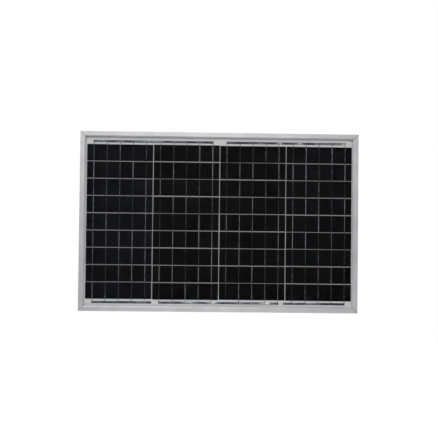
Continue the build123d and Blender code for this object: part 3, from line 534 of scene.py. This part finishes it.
diode_finish, tree, shader, place = start_material("diode_epoxy_and_wire", roughness=0.32)
axes = add_node(tree, "ShaderNodeSeparateXYZ", {0: place})
from_diode = {0: axes.outputs["X"], 1: diode_middle}
moved = add_node(tree, "ShaderNodeMath", from_diode, operation="SUBTRACT")
wrap = {0: moved.outputs[0], 1: diode_pitch / 2, 2: -diode_pitch / 2}
along = add_node(tree, "ShaderNodeMath", wrap, operation="WRAP").outputs[0]
along_size = add_node(tree, "ShaderNodeMath", {0: along}, operation="ABSOLUTE").outputs[0]
body_end = {0: along_size, 1: DIODE_LENGTH / 2 + END_GAP}
is_wire = add_node(tree, "ShaderNodeMath", body_end, operation="GREATER_THAN").outputs[0]
start = {0: along, 1: BAND_START}
after = add_node(tree, "ShaderNodeMath", start, operation="GREATER_THAN").outputs[0]
before = add_node(tree, "ShaderNodeMath", {0: along, 1: BAND_END}, operation="LESS_THAN").outputs[0]
band = add_node(tree, "ShaderNodeMath", {0: after, 1: before}, operation="MULTIPLY").outputs[0]
three_tones = {0: band, 1: 0.5, 2: is_wire}
shade = add_node(tree, "ShaderNodeMath", three_tones, operation="MULTIPLY_ADD").outputs[0]
diode_tone = tones(tree, shade, [(0.0, "#161617"), (0.5, "#b4b5b8"), (1.0, "#b9bbc0")])
tree.links.new(diode_tone, shader.inputs["Base Color"])
tree.links.new(is_wire, shader.inputs["Metallic"])
print(f"diodes {diode_pitch / MM:.0f} mm apart")

# %% [markdown]
# ## Finishes on the CAD parts
# Most CAD parts already have the right shape, so they only take a material. The name of a
# part says what it is made of, and the first match in the list decides.

# %% Give the CAD parts their finishes
FINISHES = [
    ("frame_rail_top", long_rail_metal),
    ("frame_rail_bottom", long_rail_metal),
    ("frame_rail_", short_rail_metal),
    ("corner_key_", cast_aluminium),
    ("edge_sealant", cured_silicone),
    ("glass_cover", solar_glass),
    ("encapsulant_", eva_film),
    ("backsheet", backsheet_white),
    ("cell_string_", silicon),
    ("tab_ribbons_", tab_metal),
    ("bus_", bus_metal),
    ("lead_out_", bus_metal),
    ("lead_insulation", polyester_strip),
    ("jbox_adhesive", cured_silicone),
    ("jbox_", box_plastic),
    ("lid_gasket", seal_rubber),
    ("gland_seal_", seal_rubber),
    ("gland_", gland_nylon),
    ("terminal_screws", zinc_plate),
    ("terminal_", terminal_metal),
    ("wire_clamps", zinc_plate),
    ("ribbon_clips", spring_steel),
    ("bypass_diode_", diode_finish),
    ("rating_label", label_film),
]

for node_name, node_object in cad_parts.items():
    finish = next(material for start, material in FINISHES if node_name.startswith(start))
    for material_slot in node_object.material_slots:
        material_slot.material = finish
print(len(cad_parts), "CAD parts have their finish")

# %% [markdown]
# ## Growing pieces with Geometry Nodes
# The cells repeat in rows, and the ribbons are strips that follow a path. Both are made by
# Geometry Nodes: a tree with named inputs, put on an object as a modifier. The result is
# then turned into a plain mesh, because only a plain mesh can be handed on. This function
# does those steps, and sets each input by its socket's identifier.


# %% Grow a piece
def new_tree(name, inputs):
    """A Geometry Nodes tree with a geometry input, named inputs and a geometry output."""
    tree = bpy.data.node_groups.new(name, "GeometryNodeTree")
    tree.interface.new_socket("Geometry", in_out="INPUT", socket_type="NodeSocketGeometry")
    for socket_name, kind in inputs:
        tree.interface.new_socket(socket_name, in_out="INPUT", socket_type=f"NodeSocket{kind}")
    tree.interface.new_socket("Geometry", in_out="OUTPUT", socket_type="NodeSocketGeometry")
    entry = tree.nodes.new("NodeGroupInput")
    return tree, entry.outputs


def grow(name, tree, values, source=None):
    """Runs a tree on a mesh and returns the result as a plain object."""
    holder = bpy.data.objects.new(name, source or bpy.data.meshes.new(name))
    bpy.context.scene.collection.objects.link(holder)
    modifier = holder.modifiers.new(tree.name, "NODES")
    modifier.node_group = tree
    for item in tree.interface.items_tree:
        if item.in_out == "INPUT" and item.name in values:
            modifier[item.identifier] = values[item.name]
    bpy.context.view_layer.update()
    depsgraph = bpy.context.evaluated_depsgraph_get()
    grown = bpy.data.meshes.new_from_object(holder.evaluated_get(depsgraph), depsgraph=depsgraph)
    holder.modifiers.clear()
    holder.data = grown
    print(f"{name}: {len(grown.polygons)} faces")
    return holder


# %% [markdown]
# ## Cells
# One tree makes a string of cells: a line of points, a thin plate on each point, and a
# random tone stored on every plate. The strings were cut from wafers of different batches,
# so the range of tones is an input: the first string is the bluest. The cells are laid by
# hand, so each may slip by less than half a millimetre and turn a little, and the gaps
# between them aren't all the same. Each plate is drawn a quarter of a millimetre larger
# all round than the CAD cell, for the look alone: the gaps, really 2.2 and 2.0 mm, look
# too wide when the whole panel is seen.

# %% Grow the cells
CELL_INPUTS = [
    ("Plate", "Vector"),
    ("First", "Vector"),
    ("Step", "Vector"),
    ("Count", "Int"),
    ("Tone Low", "Float"),
    ("Tone High", "Float"),
    ("Slip", "Vector"),
    ("Turn", "Vector"),
    ("Seed", "Int"),
    ("Finish", "Material"),
]
cell_tree, given = new_tree("string_of_cells", CELL_INPUTS)
line = add_node(
    cell_tree,
    "GeometryNodeMeshLine",
    {"Count": given["Count"], "Start Location": given["First"], "Offset": given["Step"]},
)
plate = add_node(cell_tree, "GeometryNodeMeshCube", {"Size": given["Plate"]})
laid = {}
for limit in ("Slip", "Turn"):
    reverse = {0: given[limit], "Scale": -1.0}
    lowest = add_node(cell_tree, "ShaderNodeVectorMath", reverse, operation="SCALE").outputs[0]
    spread = {0: lowest, 1: given[limit], "Seed": given["Seed"]}
    laid[limit] = add_node(
        cell_tree, "FunctionNodeRandomValue", spread, data_type="FLOAT_VECTOR"
    ).outputs[0]
slipped = add_node(
    cell_tree, "GeometryNodeSetPosition", {"Geometry": line.outputs["Mesh"], "Offset": laid["Slip"]}
)
placed = add_node(
    cell_tree,
    "GeometryNodeInstanceOnPoints",
    {"Points": slipped.outputs[0], "Instance": plate.outputs["Mesh"], "Rotation": laid["Turn"]},
)
random_tone = add_node(
    cell_tree,
    "FunctionNodeRandomValue",
    {2: given["Tone Low"], 3: given["Tone High"], "Seed": given["Seed"]},
    data_type="FLOAT",
)
marked = add_node(
    cell_tree,
    "GeometryNodeStoreNamedAttribute",
    {"Geometry": placed.outputs["Instances"], "Name": "cell_tone", "Value": random_tone.outputs[1]},
    data_type="FLOAT",
    domain="INSTANCE",
)
real = add_node(cell_tree, "GeometryNodeRealizeInstances", {"Geometry": marked.outputs["Geometry"]})
finished = add_node(
    cell_tree, "GeometryNodeSetMaterial", {"Geometry": real.outputs[0], "Material": given["Finish"]}
)
add_node(cell_tree, "NodeGroupOutput", {0: finished.outputs[0]})

TONE_RANGES = [(0.55, 1.0), (0.1, 0.5), (0.0, 0.4), (0.3, 0.75)]
EXTRA_RIM = 0.25 * MM
CELL_SLIP = (0.25 * MM, 0, 0.4 * MM)
CELL_TURN = (0, math.radians(0.12), 0)
CELL_SEED = 11
for number, (low, high) in enumerate(cell_boxes):
    middle = (low + high) / 2
    tone_low, tone_high = TONE_RANGES[number]
    cells = grow(
        f"cells_{number + 1}",
        cell_tree,
        {
            "Plate": (cell_width + 2 * EXTRA_RIM, high.y - low.y, cell_height + 2 * EXTRA_RIM),
            "First": (middle.x, middle.y, high.z - cell_height / 2),
            "Step": (0, 0, -row_pitch),
            "Count": ROWS,
            "Tone Low": tone_low,
            "Tone High": tone_high,
            "Slip": CELL_SLIP,
            "Turn": CELL_TURN,
            "Seed": CELL_SEED + number,
            "Finish": silicon,
        },
    )
    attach(cells, "panel")
    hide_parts(f"cell_string_{number + 1}")

# %% [markdown]
# ## Wavy ribbons
# A ribbon is a strip swept along its path. The path is cut into short steps, and each step
# is pushed towards the glass by a noise, so that the strip undulates as a soldered ribbon
# does. Copies of the path come first and the noise after, so no two ribbons undulate
# alike. The same tree makes the narrow tabs and the wide buses.

# %% A tree for wavy ribbons
RIBBON_INPUTS = [
    ("Width", "Float"),
    ("Thickness", "Float"),
    ("Step", "Float"),
    ("Wave Height", "Float"),
    ("Wave Length", "Float"),
    ("Across", "Vector"),
    ("Copies", "Int"),
    ("First Copy", "Vector"),
    ("Copy Pitch", "Vector"),
    ("Seed", "Float"),
    ("Tone Seed", "Int"),
    ("Finish", "Material"),
]
ribbon_tree, given = new_tree("wavy_ribbon", RIBBON_INPUTS)
spots = add_node(
    ribbon_tree,
    "GeometryNodeMeshLine",
    {
        "Count": given["Copies"],
        "Start Location": given["First Copy"],
        "Offset": given["Copy Pitch"],
    },
)
copies = add_node(
    ribbon_tree,
    "GeometryNodeInstanceOnPoints",
    {"Points": spots.outputs["Mesh"], "Instance": given["Geometry"]},
)
paths = add_node(
    ribbon_tree, "GeometryNodeRealizeInstances", {"Geometry": copies.outputs["Instances"]}
)
curves = add_node(ribbon_tree, "GeometryNodeMeshToCurve", {"Mesh": paths.outputs[0]})
stepped = add_node(
    ribbon_tree,
    "GeometryNodeResampleCurve",
    {"Curve": curves.outputs["Curve"], "Length": given["Step"]},
    mode="LENGTH",
)
spot = add_node(ribbon_tree, "GeometryNodeInputPosition")
per_length = add_node(
    ribbon_tree, "ShaderNodeMath", {0: 1.0, 1: given["Wave Length"]}, operation="DIVIDE"
)
wave = add_node(
    ribbon_tree,
    "ShaderNodeTexNoise",
    {
        "Vector": spot.outputs[0],
        "W": given["Seed"],
        "Scale": per_length.outputs[0],
        "Detail": 1.0,
    },
    noise_dimensions="4D",
)
wave_size = {0: wave.outputs[0], 1: given["Wave Height"]}
rise = add_node(ribbon_tree, "ShaderNodeMath", wave_size, operation="MULTIPLY")
towards_glass = add_node(
    ribbon_tree, "ShaderNodeMath", {0: rise.outputs[0], 1: -1.0}, operation="MULTIPLY"
)
push = add_node(ribbon_tree, "ShaderNodeCombineXYZ", {"Y": towards_glass.outputs[0]})
waved = add_node(
    ribbon_tree,
    "GeometryNodeSetPosition",
    {"Geometry": stepped.outputs["Curve"], "Offset": push.outputs[0]},
)
turned = add_node(
    ribbon_tree,
    "GeometryNodeSetCurveNormal",
    {"Curve": waved.outputs["Geometry"], "Normal": given["Across"]},
    mode="FREE",
)
# a random number for each ribbon, which makes its painted glints brighter or darker all along
ribbon_glint = add_node(
    ribbon_tree, "FunctionNodeRandomValue", {"Seed": given["Tone Seed"]}, data_type="FLOAT"
)
toned = add_node(
    ribbon_tree,
    "GeometryNodeStoreNamedAttribute",
    {"Geometry": turned.outputs["Curve"], "Name": "ribbon_tone", "Value": ribbon_glint.outputs[1]},
    data_type="FLOAT",
    domain="CURVE",
)
section = add_node(
    ribbon_tree,
    "GeometryNodeCurvePrimitiveQuadrilateral",
    {"Width": given["Width"], "Height": given["Thickness"]},
)
swept = add_node(
    ribbon_tree,
    "GeometryNodeCurveToMesh",
    {
        "Curve": toned.outputs["Geometry"],
        "Profile Curve": section.outputs["Curve"],
        "Fill Caps": True,
    },
)
whole = add_node(ribbon_tree, "GeometryNodeRealizeInstances", {"Geometry": swept.outputs["Mesh"]})
dressed = add_node(
    ribbon_tree,
    "GeometryNodeSetMaterial",
    {"Geometry": whole.outputs[0], "Material": given["Finish"]},
)
add_node(ribbon_tree, "NodeGroupOutput", {0: dressed.outputs[0]})
print("ribbon tree has", len(ribbon_tree.nodes), "nodes")

# %% [markdown]
# ## Tabs
# A tab joins the front of one cell to the back of the next, so each path has three runs: on
# one side of a cell, through the gap, and on the other side of its neighbour. In every
# second string the current runs the other way, so front and back change places. At both
# ends the tabs lie over a bus.

# %% Paths for the tabs
TAB_WIDTH = 1.2 * MM
TAB_END = 1.0 * MM
TAB_CLEAR = 0.3 * MM
TAB_SEED = 3.0
TAB_TONE_SEED = 5
top_bus_low, top_bus_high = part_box("bus_top_left")
bottom_bus_low, bottom_bus_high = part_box("bus_bottom_left")
front_layer = tab_low.y + tab_thickness / 2
back_layer = tab_high.y - tab_thickness / 2


def row_middle(row):
    """The height of a row of cells, row 0 at the top."""
    return cell_high.z - cell_height / 2 - row * row_pitch


def tab_path(joint, front_below):
    """The (y, z) points of the tab at one gap, from its upper end to its lower one."""
    y_above, y_below = (back_layer, front_layer) if front_below else (front_layer, back_layer)
    half = cell_height / 2
    upper = (row_middle(joint - 1) + half - TAB_END, row_middle(joint - 1) - half - TAB_CLEAR)
    lower = (row_middle(joint) + half + TAB_CLEAR, row_middle(joint) - half + TAB_END)
    if joint == 0:
        upper = (top_bus_high.z, top_bus_low.z - TAB_CLEAR)
        lower = (row_middle(0) + half + 2 * TAB_END, lower[1])
        y_above = front_layer
    if joint == ROWS:
        upper = (upper[0], row_middle(ROWS - 1) - half - 2 * TAB_END)
        lower = (bottom_bus_high.z + TAB_CLEAR, bottom_bus_low.z)
        y_below = front_layer
    return [(y_above, upper[0]), (y_above, upper[1]), (y_below, lower[0]), (y_below, lower[1])]


def path_mesh(name, paths):
    """A mesh of edges only, one chain for each path of (x, y, z) points."""
    points = [point for path in paths for point in path]
    edges = []
    start = 0
    for path in paths:
        edges += [(start + n, start + n + 1) for n in range(len(path) - 1)]
        start += len(path)
    mesh = bpy.data.meshes.new(name)
    mesh.from_pydata(points, edges, [])
    return mesh


tab_pitch = (tab_high.x - tab_low.x - TAB_WIDTH) / (BUSBARS - 1)
for number in range(STRINGS):
    low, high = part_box(f"tab_ribbons_{number + 1}")
    front_below = number % 2 == 0
    paths = [[(0, y, z) for y, z in tab_path(joint, front_below)] for joint in range(ROWS + 1)]
    tabs = grow(
        f"tabs_{number + 1}",
        ribbon_tree,
        {
            "Width": TAB_WIDTH,
            "Thickness": tab_thickness,
            "Step": 1.6 * MM,
            "Wave Height": 0.1 * MM,
            "Wave Length": 7.0 * MM,
            "Across": (1, 0, 0),
            "Copies": BUSBARS,
            "First Copy": (low.x + TAB_WIDTH / 2, 0, 0),
            "Copy Pitch": (tab_pitch, 0, 0),
            "Seed": TAB_SEED + number,
            "Tone Seed": TAB_TONE_SEED + number,
            "Finish": tab_metal,
        },
        path_mesh("tab_paths", paths),
    )
    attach(tabs, "panel")
    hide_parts(f"tab_ribbons_{number + 1}")

# %% [markdown]
# ## Buses
# Five wide ribbons join the strings above and below the cells. They are soldered by hand
# and ripple more than the tabs. A bus is swept a little thinner than in the CAD frame and
# a little further back, which leaves room for its ripples. Its seed depends on its place
# across the panel.

# %% Grow the buses
BUS_THINNING = 0.1 * MM
BUS_SETBACK = 0.2 * MM
BUS_SEED = 20.0
BUS_SEED_SPREAD = 10
BUS_TONE_SEED = 2
for place_name in ("top_left", "top_right", "bottom_left", "bottom_middle", "bottom_right"):
    low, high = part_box(f"bus_{place_name}")
    middle = (low + high) / 2
    bus_layer = middle.y + BUS_SETBACK
    bus_line = [(low.x, bus_layer, middle.z), (high.x, bus_layer, middle.z)]
    bus = grow(
        f"wavy_bus_{place_name}",
        ribbon_tree,
        {
            "Width": high.z - low.z,
            "Thickness": high.y - low.y - BUS_THINNING,
            "Step": 2.0 * MM,
            "Wave Height": 0.3 * MM,
            "Wave Length": 16.0 * MM,
            "Across": (0, 0, 1),
            "Copies": 1,
            "First Copy": (0, 0, 0),
            "Copy Pitch": (0, 0, 0),
            "Seed": BUS_SEED + low.x * BUS_SEED_SPREAD,
            "Tone Seed": BUS_TONE_SEED,
            "Finish": bus_metal,
        },
        path_mesh("bus_path", [bus_line]),
    )
    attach(bus, "panel")
    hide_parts(f"bus_{place_name}")

# %% [markdown]
# ## Film slabs
# The CAD films touch the glass and the backsheet face to face. Two faces in one place
# confuse a ray tracer, so each film is drawn again, a hair smaller. Neither the films nor
# the glass cast a shadow, because they are clear.

# %% Film slabs
HAIR = 0.03 * MM


def slab(name, low, high, finish):
    """A closed box between two corners, with its faces outwards."""
    shape = bmesh.new()
    bmesh.ops.create_cube(shape, size=1.0)
    for corner in shape.verts:
        corner.co = [(a + b) / 2 + c * (b - a) for a, b, c in zip(low, high, corner.co)]
    mesh = bpy.data.meshes.new(name)
    shape.to_mesh(mesh)
    shape.free()
    mesh.materials.append(finish)
    made = bpy.data.objects.new(name, mesh)
    bpy.context.scene.collection.objects.link(made)
    return made


for film_name in ("encapsulant_front", "encapsulant_rear"):
    low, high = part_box(film_name)
    side = film_name.removeprefix("encapsulant_")
    film = slab(f"film_{side}", low + Vector((HAIR,) * 3), high - Vector((HAIR,) * 3), eva_film)
    film.visible_shadow = False
    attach(film, "panel")
    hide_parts(film_name)
    print(film.name, "is", round((high.y - low.y) / MM, 2), "mm thick")

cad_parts["glass_cover"].visible_shadow = False

# %% [markdown]
# ## Studio
# The panel stands clear of a pale floor, as it would on a wall or a rack. A large softbox
# behind the camera is what the satin frame mirrors, and the key light above it is set to
# the left, so the frame darkens to the lower right. The room is dimmer, which leaves the
# white sheet behind the glass grey and the cells nearly black. The floor is lit from
# within and fades out before its edge, so it meets the white of the room without a line.

# %% Floor and world
FLOOR_DROP = 0.16
FLOOR_SOLID = 0.15
FLOOR_EDGE = 0.9
FLOOR_REACH = 2.0
CORNERS = ((-1, -1), (1, -1), (1, 1), (-1, 1))

floor_mesh = bpy.data.meshes.new("floor")
floor_corners = [(x * FLOOR_REACH, y * FLOOR_REACH, 0) for x, y in CORNERS]
floor_mesh.from_pydata(floor_corners, [], [(0, 1, 2, 3)])
floor = bpy.data.objects.new("floor", floor_mesh)
floor.location.z = frame_low.z - FLOOR_DROP
bpy.context.scene.collection.objects.link(floor)
floor_paint, tree, shader, place = start_material(
    "floor_paint", roughness=0.8, specular_ior_level=0.0
)
shader.inputs["Base Color"].default_value = colour("#fafafa")
shader.inputs["Emission Color"].default_value = colour("#ffffff")
shader.inputs["Emission Strength"].default_value = 0.5
distance = add_node(tree, "ShaderNodeVectorMath", {0: place}, operation="LENGTH")
fade = {
    "Value": distance.outputs["Value"],
    "From Min": FLOOR_SOLID,
    "From Max": FLOOR_EDGE,
    "To Min": 1.0,
    "To Max": 0.0,
}
fading = add_node(tree, "ShaderNodeMapRange", fade, interpolation_type="SMOOTHSTEP")
tree.links.new(fading.outputs["Result"], shader.inputs["Alpha"])
floor_mesh.materials.append(floor_paint)

world = bpy.data.worlds.new("studio")
bpy.context.scene.world = world
world.use_nodes = True
tree = world.node_tree
tree.nodes.clear()
ray = add_node(tree, "ShaderNodeLightPath")
soft = add_node(tree, "ShaderNodeBackground", {"Color": colour("#f3f4f8"), "Strength": 0.42})
backdrop = add_node(tree, "ShaderNodeBackground", {"Color": (1, 1, 1, 1), "Strength": 1.0})
seen = {0: ray.outputs["Is Camera Ray"], 1: soft.outputs[0], 2: backdrop.outputs[0]}
chosen = add_node(tree, "ShaderNodeMixShader", seen)
add_node(tree, "ShaderNodeOutputWorld", {"Surface": chosen.outputs[0]})
bpy.context.scene.view_settings.view_transform = "Standard"
print("floor at z =", round(floor.location.z, 3))


# %% Lights
def softbox(name, location, target, size, power):
    """A square area light that faces a target and doesn't show in the picture itself."""
    lamp = bpy.data.lights.new(name, "AREA")
    lamp.size = size
    lamp.energy = power
    holder = bpy.data.objects.new(name, lamp)
    holder.location = location
    holder.rotation_euler = (Vector(target) - Vector(location)).to_track_quat("-Z", "Y").to_euler()
    holder.visible_camera = False
    bpy.context.scene.collection.objects.link(holder)


MIDDLE = (0, 0, 0)
softbox("front", (0.04, -2.9, 0.46), MIDDLE, 2.1, 11.1)
softbox("key", (-0.5, -2.4, 1.5), MIDDLE, 1.8, 11)
softbox("top", (0, 0.8, 2.2), MIDDLE, 2.2, 20)
softbox("back", (1.6, 1.9, 1.5), MIDDLE, 1.5, 14)
softbox("side", (2.8, -0.3, 0.7), MIDDLE, 1.6, 9)
print("lights:", len(bpy.data.lights))

# %% [markdown]
# ## Camera
# The view is almost square on: the camera is a degree to the left and a degree below, and
# turned by less than a degree. It aims just above the middle of the front face.

# %% Camera
AZIMUTH = math.radians(-0.84)
ELEVATION = math.radians(-1.0)
ROLL = math.radians(0.66)
DISTANCE = 1.4
LENS = 48.27
AIM = Vector((-0.0003, frame_low.y, 0.0078))

camera_data = bpy.data.cameras.new("camera")
camera_data.lens = LENS
camera_data.sensor_width = 36.0
camera = bpy.data.objects.new("camera", camera_data)
back = Vector(
    (
        math.sin(AZIMUTH) * math.cos(ELEVATION),
        -math.cos(AZIMUTH) * math.cos(ELEVATION),
        math.sin(ELEVATION),
    )
)
camera.location = AIM + back * DISTANCE
camera.rotation_euler = (-back).to_track_quat("-Z", "Y").to_euler()
camera.rotation_euler.rotate_axis("Z", ROLL)
bpy.context.scene.collection.objects.link(camera)
bpy.context.scene.camera = camera
print("camera at", [round(v, 3) for v in camera.location])
